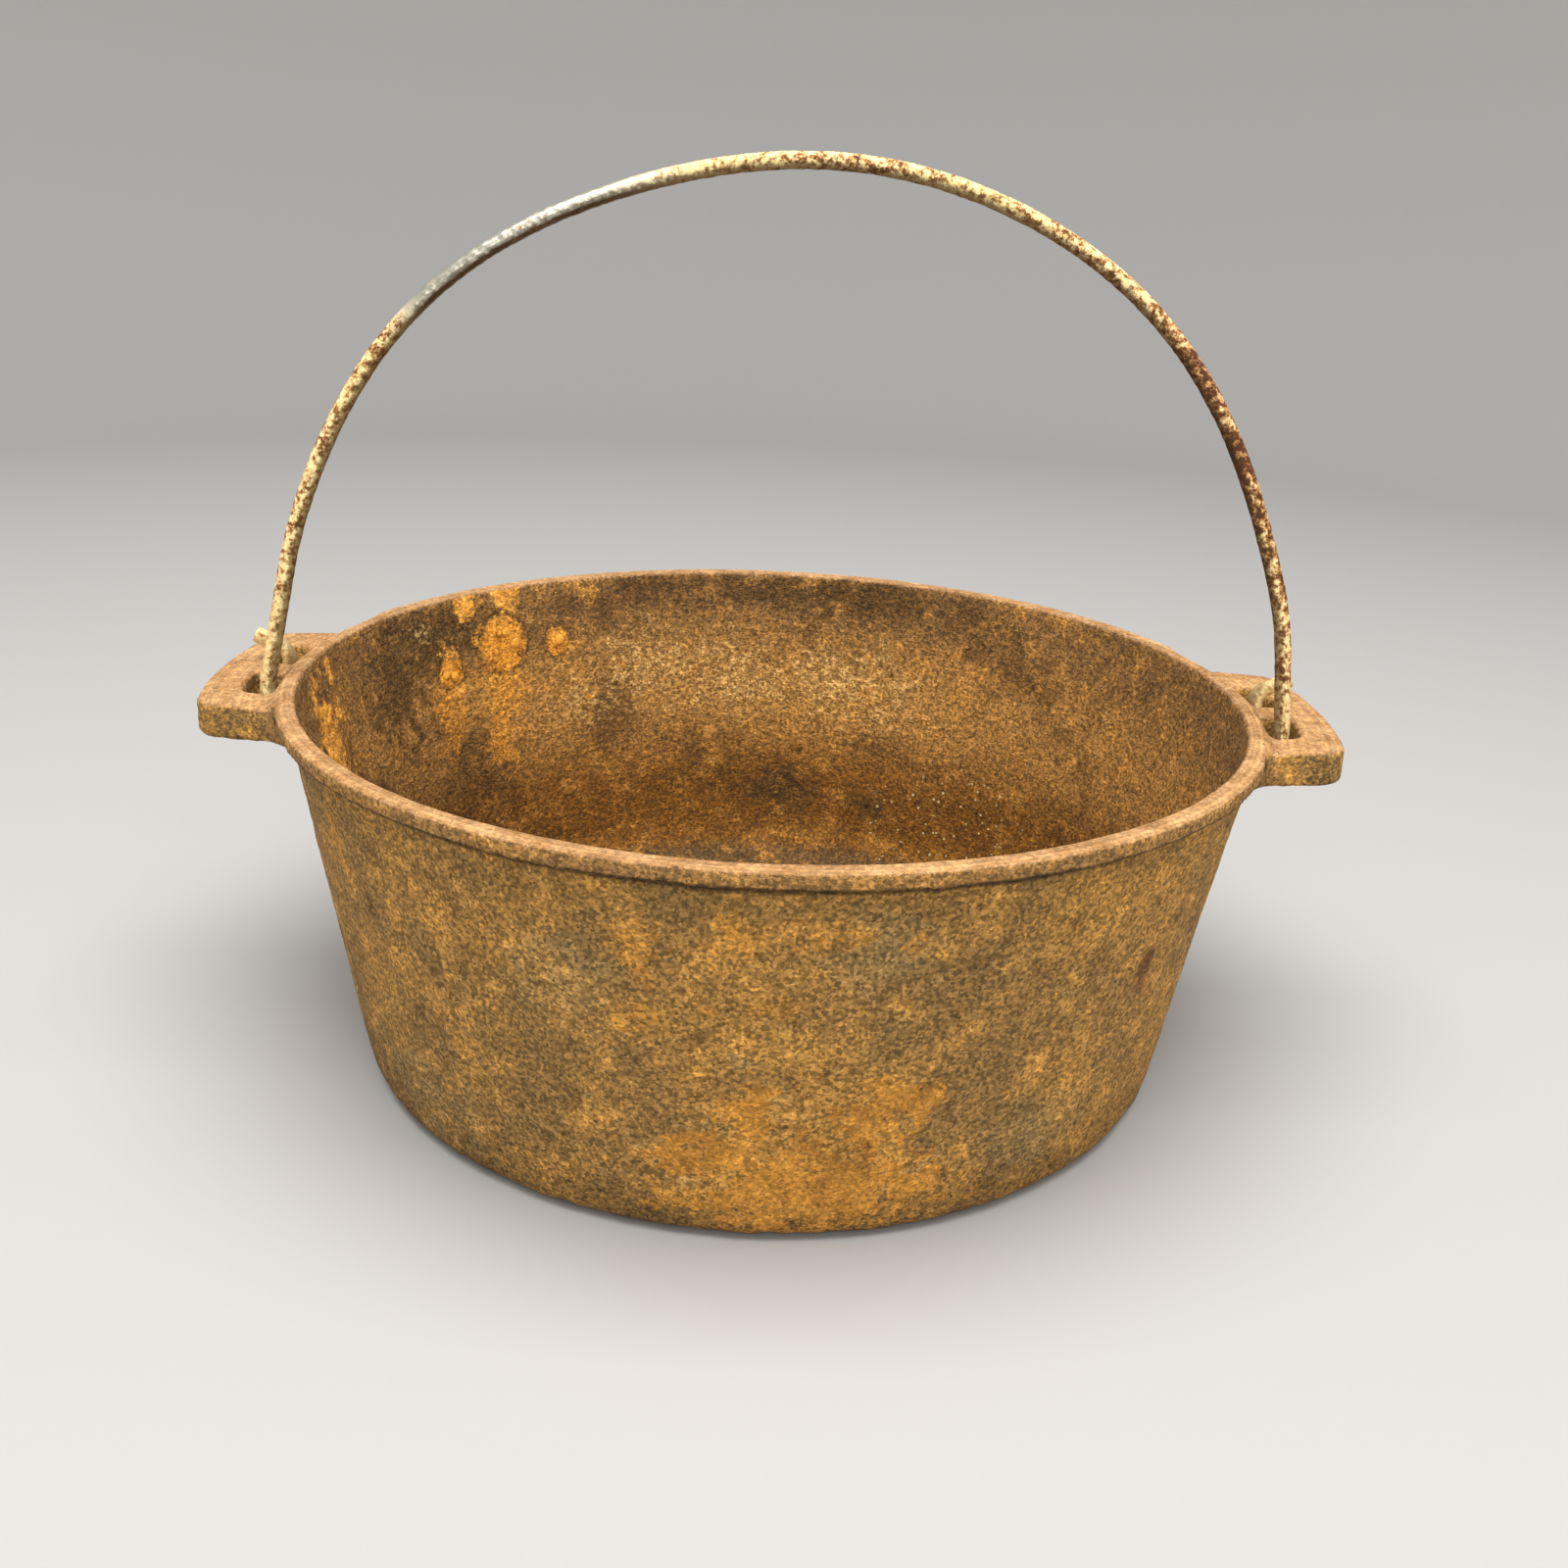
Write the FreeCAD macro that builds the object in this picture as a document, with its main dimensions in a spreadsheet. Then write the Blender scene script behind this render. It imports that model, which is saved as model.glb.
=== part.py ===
"""Cast iron dutch oven with a wire bail.

Two pieces: the pot, which is one casting with its rim band and two slotted ears, and the bail, one
length of round wire hooked through both ears. The origin is the centre of the base, +Z is up and the
ears point along +X and -X. All lengths are millimetres and all angles degrees.
"""
import FreeCAD
import Part
import math
import os
import Sketcher
from FreeCAD import Placement, Rotation, Vector

SIZES = {
    # bowl
    "pot_height": 100.4,         # base to the top of the rim
    "rim_radius": 130.0,         # outside of the rim band
    "rim_band": 3.9,             # height of the band that stands out at the rim
    "rim_overhang": 3.0,         # how far the band stands out from the wall
    "rim_wall": 5.2,             # rim band's outside to the bowl's inside, at the very top
    "rim_edge": 0.5,             # chamfer round both edges of the ground rim face
    "base_radius": 110.8,        # outer wall carried down to the ground, before the corner is rounded
    "base_corner": 6.2,          # rounding between base and wall
    "floor_thick": 4.5,
    "wall_foot": 4.2,            # wall thickness where it meets the floor
    "bowl_corner": 14.0,         # rounding between floor and wall inside
    # ears
    "ear_drop": 2.7,             # ear's top below the rim's top
    "ear_thick": 9.2,
    "ear_reach": 19.5,           # ear beyond the rim band
    "ear_half_tip": 33.5,        # half the ear's width at its outer corners
    "ear_half_neck": 36.5,       # half the ear's width where it starts to flare into the wall
    "neck_inset": 1.0,           # that place's distance out from the pot's middle, less than the rim's
    "ear_half_root": 45.0,       # half the flare's width, buried in the wall
    "root_inset": 14.0,          # the flare's end, the same way
    "root_round": 12.0,          # hollow between the ear's side and its flare
    "ear_corner": 8.0,           # outer corners in plan
    "ear_edge": 1.2,             # rounding of the slots' and the outer edge's arrises
    "slot_rim_gap": 0.3,         # slots' inner side outside the rim band
    "slot_wide": 9.1,            # slots' inner side to their outer side
    "web_front": 5.4,            # web's front side, from the ear's middle
    "web_rear": 3.4,             # web's rear side, from the ear's middle
    "slot_front_long": 18.1,
    "slot_rear_long": 17.6,
    "slot_far_round": 5.0,       # slot's outer corner away from the web
    "slot_near_round": 2.4,      # the slot's other corners
    # bail
    "wire_diameter": 4.4,
    "arch_up": 3.2,              # ear's top to the centre of the arch, along the bail
    "bail_lean": 6.0,            # backward lean as it rests
    "leg_web_gap": 5.9,          # leg to the web's front side, at the ear's top
    "leg_left_gap": 0.8,         # left leg to its slot's inner side, at the ear's top
    "leg_right_gap": 2.3,        # right leg to its slot's inner side, at the ear's top
    "leg_left_slant": 11.3,      # the legs spread towards their feet
    "leg_right_slant": 6.3,
    "web_gap": 0.5,              # wire to the web's rear side as the bail rests
    "hook_below": 6.8,           # ear's underside to the hook's lowest centre-line
    "hook_round": 5.5,           # centre-line radius of the hook's two lower bends
    "knee_round": 15.0,          # where the leg turns into the hook
    "end_round": 4.5,            # where the wire's end turns outwards
    "end_start": 3.2,            # height of that turn above the ear
    "end_rise": 7.0,             # height of the wire's end above the ear
    "end_out": 8.8,              # how far the wire's end reaches outwards
    "riser_right_in": 1.9,       # the right hook comes up nearer to the pot than its leg
}


def make_sheet(doc, sizes):
    """Put the driving dimensions into a spreadsheet, one alias each."""
    sheet = doc.addObject("Spreadsheet::Sheet", "Sizes")
    for row, (name, value) in enumerate(sizes.items(), start=1):
        sheet.set("A%d" % row, name)
        sheet.set("B%d" % row, str(value))
        sheet.setAlias("B%d" % row, name)
    doc.recompute()
    return sheet


class Outline:
    """A sketch built from points, lines and arcs, each placed by an expression on the sheet."""

    def __init__(self, body, name, role, lift=None):
        self.sketch = body.newObject("Sketcher::SketchObject", name)
        plane = [f for f in body.Origin.OriginFeatures if f.Role == role][0]
        self.sketch.AttachmentSupport = [(plane, "")]
        self.sketch.MapMode = "FlatFace"
        if lift:
            self.sketch.setExpression("AttachmentOffset.Base.z", lift)

    def driven(self, kind, *where, by, start):
        """Add a dimension that the expression `by` drives."""
        index = self.sketch.addConstraint(Sketcher.Constraint(kind, *where, start))
        self.sketch.setExpression("Constraints[%d]" % index, by)

    def line(self, a, b):
        return self.sketch.addGeometry(Part.LineSegment(Vector(*a, 0), Vector(*b, 0)))

    def arc(self, centre, radius, a, b):
        """An arc from point a to point b, anticlockwise about its centre."""
        first = math.atan2(a[1] - centre[1], a[0] - centre[0])
        last = math.atan2(b[1] - centre[1], b[0] - centre[0])
        circle = Part.Circle(Vector(*centre, 0), Vector(0, 0, 1), radius)
        return self.sketch.addGeometry(Part.ArcOfCircle(circle, first, last))

    def join(self, one, one_end, two, two_end):
        self.sketch.addConstraint(Sketcher.Constraint("Coincident", one, one_end, two, two_end))

    def tangent(self, one, one_end, two, two_end):
        self.sketch.addConstraint(Sketcher.Constraint("Tangent", one, one_end, two, two_end))

    def place(self, geo, end, x_by, x, y_by, y):
        """Pin a point by its two distances from the origin; an empty expression pins it to an axis."""
        for kind, axis, by, value in (("DistanceX", -2, x_by, x), ("DistanceY", -1, y_by, y)):
            if not by:
                self.sketch.addConstraint(Sketcher.Constraint("PointOnObject", geo, end, axis))
            elif value >= 0:
                self.driven(kind, -1, 1, geo, end, by=by, start=value)
            else:
                self.driven(kind, geo, end, -1, 1, by="-(%s)" % by, start=-value)

    def polygon(self, corners):
        """Closed straight outline; each corner is (x expression, x, y expression, y)."""
        points = [(c[1], c[3]) for c in corners]
        lines = [self.line(points[i], points[(i + 1) % len(points)]) for i in range(len(points))]
        for i, geo in enumerate(lines):
            self.join(geo, 2, lines[(i + 1) % len(lines)], 1)
            x_by, x, y_by, y = corners[i]
            self.place(geo, 1, x_by, x, y_by, y)


class Values:
    """The sheet's numbers, and the few that follow from them, for first guesses and plain geometry."""

    def __init__(self, sheet):
        for name in SIZES:
            setattr(self, name, float(getattr(sheet, name)))
        self.band_bottom = self.pot_height - self.rim_band
        self.wall_top = self.rim_radius - self.rim_overhang
        self.ear_top = self.pot_height - self.ear_drop
        self.ear_bottom = self.ear_top - self.ear_thick
        self.ear_radius = self.rim_radius + self.ear_reach
        self.slot_inner = self.rim_radius + self.slot_rim_gap
        self.slot_outer = self.slot_inner + self.slot_wide
        self.slot_front = self.web_front + self.slot_front_long
        self.slot_rear = self.web_rear + self.slot_rear_long


def spin(body, kind, name, sketch):
    """Turn a half section a full turn about the pot's axis, adding or cutting."""
    feature = body.newObject("PartDesign::" + kind, name)
    feature.Profile = sketch
    feature.ReferenceAxis = (sketch, ["V_Axis"])
    feature.Angle = 360.0
    sketch.Visibility = False
    return feature


def round_edges(doc, body, name, by, keep, kind="Fillet"):
    """Fillet or chamfer the edges of the body's last solid that pass the test `keep`."""
    doc.recompute()
    base = body.Tip
    names = ["Edge%d" % (i + 1) for i, edge in enumerate(base.Shape.Edges) if keep(edge)]
    if not names:
        raise RuntimeError(name + ": no edge to round")
    feature = body.newObject("PartDesign::" + kind, name)
    feature.Base = (base, names)
    feature.setExpression("Radius" if kind == "Fillet" else "Size", by)
    doc.recompute()
    return feature


def is_ring(edge, radius, height):
    """True for a full circle about the pot's axis at this radius and height."""
    curve = edge.Curve
    if not isinstance(curve, Part.Circle) or not edge.isClosed():
        return False
    return abs(curve.Radius - radius) < 0.01 and abs(curve.Center.z - height) < 0.01


def polar(point):
    return math.hypot(point.x, point.y)


def halfway(edge):
    return edge.valueAt((edge.FirstParameter + edge.LastParameter) / 2)


def make_blank(doc, body, v):
    """The pot as a solid block: tapered wall, flat base and the rim band."""
    wall_top = "Sizes.rim_radius - Sizes.rim_overhang"
    band_bottom = "Sizes.pot_height - Sizes.rim_band"
    half = Outline(body, "blank_section", "XZ_Plane")
    half.polygon([
        ("", 0, "", 0),
        ("Sizes.base_radius", v.base_radius, "", 0),
        (wall_top, v.wall_top, band_bottom, v.band_bottom),
        ("Sizes.rim_radius", v.rim_radius, band_bottom, v.band_bottom),
        ("Sizes.rim_radius", v.rim_radius, "Sizes.pot_height", v.pot_height),
        ("", 0, "Sizes.pot_height", v.pot_height),
    ])
    spin(body, "Revolution", "blank", half.sketch)
    round_edges(doc, body, "base_rounding", "Sizes.base_corner",
                lambda e: is_ring(e, v.base_radius, 0))


def ear_outline(body, v, side):
    """Plan of one ear: an arc about the pot's axis, splayed sides, and roots that flare at the wall."""
    plan = Outline(body, "ear_plan_%s" % ("right" if side > 0 else "left"), "XY_Plane",
                   "Sizes.pot_height - Sizes.ear_drop - Sizes.ear_thick")
    sign = "" if side > 0 else "-1 * "
    neck_x = side * (v.rim_radius - v.neck_inset)
    root_x = side * (v.rim_radius - v.root_inset)
    tip_x = side * math.sqrt(v.ear_radius ** 2 - v.ear_half_tip ** 2)
    neck_by = sign + "(Sizes.rim_radius - Sizes.neck_inset)"
    root_by = sign + "(Sizes.rim_radius - Sizes.root_inset)"
    front = plan.line((neck_x, -v.ear_half_neck), (tip_x, -v.ear_half_tip))
    rear = plan.line((tip_x, v.ear_half_tip), (neck_x, v.ear_half_neck))
    rear_flare = plan.line((neck_x, v.ear_half_neck), (root_x, v.ear_half_root))
    back = plan.line((root_x, v.ear_half_root), (root_x, -v.ear_half_root))
    front_flare = plan.line((root_x, -v.ear_half_root), (neck_x, -v.ear_half_neck))
    tips = ((tip_x, -v.ear_half_tip), (tip_x, v.ear_half_tip))
    outer = plan.arc((0, 0), v.ear_radius, *(tips if side > 0 else tips[::-1]))
    start, end = (1, 2) if side > 0 else (2, 1)
    plan.join(front, 2, outer, start)
    plan.join(outer, end, rear, 1)
    for one, two in ((rear, rear_flare), (rear_flare, back), (back, front_flare), (front_flare, front)):
        plan.join(one, 2, two, 1)
    plan.join(outer, 3, -1, 1)
    plan.driven("Radius", outer, by="Sizes.rim_radius + Sizes.ear_reach", start=v.ear_radius)
    plan.driven("DistanceY", outer, start, -1, 1, by="Sizes.ear_half_tip", start=v.ear_half_tip)
    plan.driven("DistanceY", -1, 1, outer, end, by="Sizes.ear_half_tip", start=v.ear_half_tip)
    plan.place(rear, 2, neck_by, neck_x, "Sizes.ear_half_neck", v.ear_half_neck)
    plan.place(back, 1, root_by, root_x, "Sizes.ear_half_root", v.ear_half_root)
    plan.place(back, 2, root_by, root_x, "-Sizes.ear_half_root", -v.ear_half_root)
    plan.place(front, 1, neck_by, neck_x, "-Sizes.ear_half_neck", -v.ear_half_neck)
    return plan.sketch


def slot_outline(body, v, side, end):
    """Plan of one slot: between wall and outer band of the ear, from its far end to the web."""
    near_by, near = ("Sizes.web_front", v.web_front) if end < 0 else ("Sizes.web_rear", v.web_rear)
    far_by = "(%s + Sizes.slot_%s_long)" % (near_by, "front" if end < 0 else "rear")
    far = v.slot_front if end < 0 else v.slot_rear
    low, high = (-far, -near) if end < 0 else (near, far)
    low_by, high_by = ("-" + far_by, "-" + near_by) if end < 0 else (near_by, far_by)
    name = "slot_plan_%s_%s" % ("right" if side > 0 else "left", "front" if end < 0 else "rear")
    plan = Outline(body, name, "XY_Plane", "Sizes.pot_height - Sizes.ear_drop")

    def on(radius, y):
        return (side * math.sqrt(radius ** 2 - y ** 2), y)

    def arc(radius):
        ends = (on(radius, low), on(radius, high))
        return plan.arc((0, 0), radius, *(ends if side > 0 else ends[::-1]))

    outer = arc(v.slot_outer)
    inner = arc(v.slot_inner)
    bottom = plan.line(on(v.slot_inner, low), on(v.slot_outer, low))
    top = plan.line(on(v.slot_outer, high), on(v.slot_inner, high))
    low_end, high_end = (1, 2) if side > 0 else (2, 1)
    plan.join(bottom, 2, outer, low_end)
    plan.join(outer, high_end, top, 1)
    plan.join(top, 2, inner, high_end)
    plan.join(inner, low_end, bottom, 1)
    inner_by = "Sizes.rim_radius + Sizes.slot_rim_gap"
    for geo, by, start in ((outer, inner_by + " + Sizes.slot_wide", v.slot_outer),
                           (inner, inner_by, v.slot_inner)):
        plan.join(geo, 3, -1, 1)
        plan.driven("Radius", geo, by=by, start=start)
        for point, y_by, y in ((low_end, low_by, low), (high_end, high_by, high)):
            if y >= 0:
                plan.driven("DistanceY", -1, 1, geo, point, by=y_by, start=y)
            else:
                plan.driven("DistanceY", geo, point, -1, 1, by="-(%s)" % y_by, start=-y)
    return plan.sketch


def make_ears(doc, body, v):
    """Both ears with their slots, and the roundings of their corners."""
    for side in (1, -1):
        pad = body.newObject("PartDesign::Pad", "ear_right" if side > 0 else "ear_left")
        pad.Profile = ear_outline(body, v, side)
        pad.setExpression("Length", "Sizes.ear_thick")
        doc.recompute()
    upright = Vector(0, 0, 1)

    def standing(edge):
        if not isinstance(edge.Curve, Part.Line) or edge.Length < 0.9 * v.ear_thick:
            return False
        return abs(edge.tangentAt(edge.FirstParameter).dot(upright)) > 0.999

    def neck(edge):
        return standing(edge) and abs(abs(edge.CenterOfMass.y) - v.ear_half_neck) < 0.1

    round_edges(doc, body, "ear_corners", "Sizes.ear_corner",
                lambda e: standing(e) and polar(e.CenterOfMass) > v.ear_radius - 0.1)
    round_edges(doc, body, "ear_roots", "Sizes.root_round", neck)
    for side in (1, -1):
        for end in (-1, 1):
            sketch = slot_outline(body, v, side, end)
            pocket = body.newObject("PartDesign::Pocket", sketch.Name.replace("plan_", ""))
            pocket.Profile = sketch
            pocket.setExpression("Length", "Sizes.ear_thick + 1")
            doc.recompute()

    def far_corner(edge):
        y = edge.CenterOfMass.y
        outside = abs(polar(edge.CenterOfMass) - v.slot_outer) < 0.1
        return standing(edge) and outside and (y < -0.9 * v.slot_front or y > 0.9 * v.slot_rear)

    def near_corner(edge):
        radius = polar(edge.CenterOfMass)
        return standing(edge) and v.slot_inner - 0.1 < radius < v.slot_outer + 0.1

    round_edges(doc, body, "slot_far_corners", "Sizes.slot_far_round", far_corner)
    round_edges(doc, body, "slot_near_corners", "Sizes.slot_near_round", near_corner)


def make_bowl(doc, body, v):
    """Hollow the blank out, then round the floor's corner and break the rim's edges."""
    rim_inside = v.rim_radius - v.rim_wall
    slope = "(%s) / (%s)" % ("Sizes.rim_radius - Sizes.rim_overhang - Sizes.base_radius",
                            "Sizes.pot_height - Sizes.rim_band")
    foot_by = "Sizes.base_radius + Sizes.floor_thick * %s - Sizes.wall_foot" % slope
    foot = v.base_radius + v.floor_thick * (v.wall_top - v.base_radius) / v.band_bottom - v.wall_foot
    hollow = Outline(body, "bowl_section", "XZ_Plane")
    hollow.polygon([
        ("", 0, "Sizes.floor_thick", v.floor_thick),
        (foot_by, foot, "Sizes.floor_thick", v.floor_thick),
        ("Sizes.rim_radius - Sizes.rim_wall", rim_inside, "Sizes.pot_height", v.pot_height),
        ("", 0, "Sizes.pot_height", v.pot_height),
    ])
    spin(body, "Groove", "bowl", hollow.sketch)
    round_edges(doc, body, "bowl_rounding", "Sizes.bowl_corner", lambda e: is_ring(e, foot, v.floor_thick))
    round_edges(doc, body, "rim_edges", "Sizes.rim_edge",
                lambda e: is_ring(e, rim_inside, v.pot_height) or is_ring(e, v.rim_radius, v.pot_height),
                kind="Chamfer")


def make_pot(doc, v):
    body = doc.addObject("PartDesign::Body", "Pot")
    body.Label = "pot_casting"
    make_blank(doc, body, v)
    make_ears(doc, body, v)
    make_bowl(doc, body, v)

    def arris(edge):
        """True for the edges of the ears' top and bottom faces, those along the rim left out."""
        box = edge.BoundBox
        level = min(abs(box.ZMin - v.ear_top), abs(box.ZMin - v.ear_bottom)) < 0.01
        return box.ZLength < 0.01 and level and polar(halfway(edge)) > v.rim_radius + 0.5

    def of_slot(edge):
        y = halfway(edge).y
        return polar(halfway(edge)) < v.slot_outer + 0.01 and -v.slot_front - 0.01 < y < v.slot_rear + 0.01

    round_edges(doc, body, "ear_arrises", "Sizes.ear_edge", lambda e: arris(e) and not of_slot(e))
    round_edges(doc, body, "slot_arrises", "Sizes.ear_edge", lambda e: arris(e) and of_slot(e))
    return body


def rounded_path(points, radii):
    """Straight runs joined by tangent arcs: one radius for each inner point."""
    edges = []
    start = points[0]
    for before, corner, after, radius in zip(points, points[1:], points[2:], radii):
        inward = (before - corner).normalize()
        outward = (after - corner).normalize()
        half = math.acos(max(-1, min(1, inward.dot(outward)))) / 2
        reach = radius / math.tan(half)
        first, last = corner + inward * reach, corner + outward * reach
        middle_way = (inward + outward).normalize()
        middle = corner + middle_way * (radius / math.sin(half) - radius)
        edges.append(Part.LineSegment(start, first).toShape())
        edges.append(Part.Arc(first, middle, last).toShape())
        start = last
    edges.append(Part.LineSegment(start, points[-1]).toShape())
    return edges


def bail_path(v):
    """Centre-line of the bail: hooked end, leg, arch, leg, hooked end, with no break in direction.

    The arch and the legs lie in one plane that leans back; `lift` turns a point of that plane, given
    by its x and its distance above the ears along the lean, into space.
    """
    lean = math.radians(v.bail_lean)
    wire_radius = v.wire_diameter / 2
    left_x = -(v.slot_inner + wire_radius + v.leg_left_gap)
    right_x = v.slot_inner + wire_radius + v.leg_right_gap
    leg_y = -(v.web_front + v.leg_web_gap + wire_radius)
    left_slant, right_slant = math.radians(v.leg_left_slant), math.radians(v.leg_right_slant)

    def lift(x, up):
        return Vector(x, leg_y + up * math.sin(lean), v.ear_top + up * math.cos(lean))

    # The arch is the circle that touches both legs' lines, its centre at a set height above the ears:
    # (centre_x - left_x) cl - arch_up sl = radius  and  (right_x - centre_x) cr - arch_up sr = radius.
    cl, sl = math.cos(left_slant), math.sin(left_slant)
    cr, sr = math.cos(right_slant), math.sin(right_slant)
    radius = (right_x - left_x - v.arch_up * (sl / cl + sr / cr)) / (1 / cl + 1 / cr)
    centre_x = left_x + (radius + v.arch_up * sl) / cl
    left_top = lift(centre_x - radius * cl, v.arch_up + radius * sl)
    right_top = lift(centre_x + radius * cr, v.arch_up + radius * sr)
    crown = lift(centre_x, v.arch_up + radius)

    riser_y = v.web_rear + v.web_gap + wire_radius
    deep = v.ear_bottom - v.hook_below
    leg_low_y = leg_y - (v.ear_top - deep) * math.tan(lean)
    ends = []
    for side, foot_x, riser_x in ((-1, left_x, left_x), (1, right_x, right_x - v.riser_right_in)):
        foot = lift(foot_x, 0)
        leg_low = Vector(foot_x, leg_low_y, deep)
        riser_low = Vector(riser_x, riser_y, deep)
        turn = Vector(riser_x, riser_y, v.ear_top + v.end_start)
        tip = Vector(riser_x + side * v.end_out, riser_y, v.ear_top + v.end_rise)
        ends.append([tip, turn, riser_low, leg_low, foot])
    radii = [v.end_round, v.hook_round, v.hook_round, v.knee_round]
    left = rounded_path(ends[0] + [left_top], radii)
    right = rounded_path(ends[1] + [right_top], radii)
    arch = [Part.Arc(left_top, crown, right_top).toShape()]
    return left + arch + right[::-1], ends[0][0], ends[0][1]


def make_bail(doc, v):
    """One length of round wire swept along the bail's centre-line."""
    edges, tip, turn = bail_path(v)
    path = doc.addObject("Part::Feature", "BailPath")
    path.Shape = Part.Wire(Part.__sortEdges__(edges))
    section = doc.addObject("Part::Circle", "WireSection")
    section.setExpression("Radius", "Sizes.wire_diameter / 2")
    section.Placement = Placement(tip, Rotation(Vector(0, 0, 1), turn - tip))
    doc.recompute()
    sweep = doc.addObject("Part::Sweep", "Bail")
    sweep.Label = "bail_wire"
    sweep.Sections = [section]
    sweep.Spine = (path, [])
    sweep.Solid = True
    sweep.Frenet = False
    sweep.Transition = "Transformed"
    doc.recompute()
    length = path.Shape.Length
    expected = math.pi * (v.wire_diameter / 2) ** 2 * length
    share = sweep.Shape.Volume / expected
    print("wire length %.1f mm, volume over section times length %.4f" % (length, share))
    return sweep


def check_and_write(doc, pieces):
    for obj in doc.Objects:
        if "Invalid" in obj.State or "Error" in obj.State:
            raise RuntimeError("%s did not compute: %s" % (obj.Name, obj.State))
    for piece in pieces:
        shape = piece.Shape
        if shape.isNull() or not shape.isValid() or len(shape.Solids) != 1:
            raise RuntimeError("%s is not one valid solid" % piece.Label)
    os.makedirs("parts", exist_ok=True)
    for piece in pieces:
        piece.Shape.exportStep("parts/%s.step" % piece.Label)
        box = piece.Shape.BoundBox
        print("%s: %.1f cm3, box %.1f x %.1f x %.1f mm" % (
            piece.Label, piece.Shape.Volume / 1000, box.XLength, box.YLength, box.ZLength))


document = FreeCAD.newDocument("DutchOven")
values = Values(make_sheet(document, SIZES))
check_and_write(document, [make_pot(document, values), make_bail(document, values)])
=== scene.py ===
import math

import bmesh
import bpy
from mathutils import Matrix, Vector


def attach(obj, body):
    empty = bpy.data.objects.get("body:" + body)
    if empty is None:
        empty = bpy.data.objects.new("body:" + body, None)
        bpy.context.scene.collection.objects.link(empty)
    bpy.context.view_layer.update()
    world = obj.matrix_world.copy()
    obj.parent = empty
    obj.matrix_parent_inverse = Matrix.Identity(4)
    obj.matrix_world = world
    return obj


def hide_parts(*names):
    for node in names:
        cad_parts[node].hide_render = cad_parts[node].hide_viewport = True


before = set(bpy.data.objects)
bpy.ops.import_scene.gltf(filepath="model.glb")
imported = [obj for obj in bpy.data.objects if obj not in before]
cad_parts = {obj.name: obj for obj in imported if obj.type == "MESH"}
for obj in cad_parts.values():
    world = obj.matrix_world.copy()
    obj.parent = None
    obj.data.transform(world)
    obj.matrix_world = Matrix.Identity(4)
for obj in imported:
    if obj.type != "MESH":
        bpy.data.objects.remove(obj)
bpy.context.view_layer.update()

# The pot, in millimetres: the heights and radii that its patterns and its relief go by.
POT_HEIGHT = 100.4
EAR_TOP = 97.7
RIM_RADIUS = 130.0
RIM_BAND = 3.9
FLOOR_THICK = 4.5
WALL_MIDDLE_AT_BASE = 108.7  # radius half-way through the wall, level with the table
WALL_MIDDLE_AT_RIM = 126.2

# The bail, in millimetres and degrees.
WIRE_RADIUS = 2.2
LEG_FRONT = 13.5
BAIL_LEAN = 6.0
LEFT_FOOT, RIGHT_FOOT = -133.3, 134.8
LEFT_SLANT, RIGHT_SLANT = 11.3, 6.3
ARCH_UP = 3.2  # centre of the arch above the ears
HOOK_DEPTH = 16.0
RISER_BACK = 6.1
RIGHT_RISER_IN = 1.9
END_START, END_RISE, END_OUT = 3.2, 7.0, 8.8
END_ROUND, HOOK_ROUND, KNEE_ROUND = 4.5, 5.5, 15.0


def linear(code):
    """A colour given as sRGB hex, as the linear values that a shader takes."""
    parts = [int(code[i : i + 2], 16) / 255 for i in (1, 3, 5)]
    return [c / 12.92 if c <= 0.04045 else ((c + 0.055) / 1.055) ** 2.4 for c in parts] + [1.0]


def grain(size):
    """The scale of a noise whose grains are `size` millimetres across, on coordinates in metres."""
    return 1000 / size


def add(tree, kind, inputs=None, out=0, **settings):
    """Adds a node, sets its options and inputs (values or links, by name or place), gives one output."""
    node = tree.nodes.new(kind)
    for option, value in settings.items():
        setattr(node, option, value)
    for key, value in (inputs or {}).items():
        socket = node.inputs[key] if isinstance(key, int) else next(
            s for s in node.inputs if s.enabled and s.name == key
        )
        if isinstance(value, bpy.types.NodeSocket):
            tree.links.new(value, socket)
        else:
            socket.default_value = value
    outputs = [s for s in node.outputs if s.enabled]
    return outputs[out] if isinstance(out, int) else node.outputs[out]


def blend(tree, share, first, second):
    """Two colours mixed by a share from 0 to 1."""
    return add(tree, "ShaderNodeMix", {"Factor": share, "A": first, "B": second}, data_type="RGBA")


def fade(tree, value, start, end, low=0.0, high=1.0):
    """A smooth ramp from `low` at start to `high` at end, held level beyond them."""
    return add(
        tree,
        "ShaderNodeMapRange",
        {"Value": value, "From Min": start, "From Max": end, "To Min": low, "To Max": high},
        interpolation_type="SMOOTHSTEP",
    )


def sums(tree, how, first, second=0.0):
    """One sum or comparison of two numbers."""
    return add(tree, "ShaderNodeMath", {0: first, 1: second}, operation=how)


# ---------------------------------------------------------------------------------------------------
# Where the rust has grown on the casting. Each patch is (x, y, z of its middle, half its width, half
# its height), in millimetres. Blooms and blisters raise the relief as well; the rest only colour it.

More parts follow.
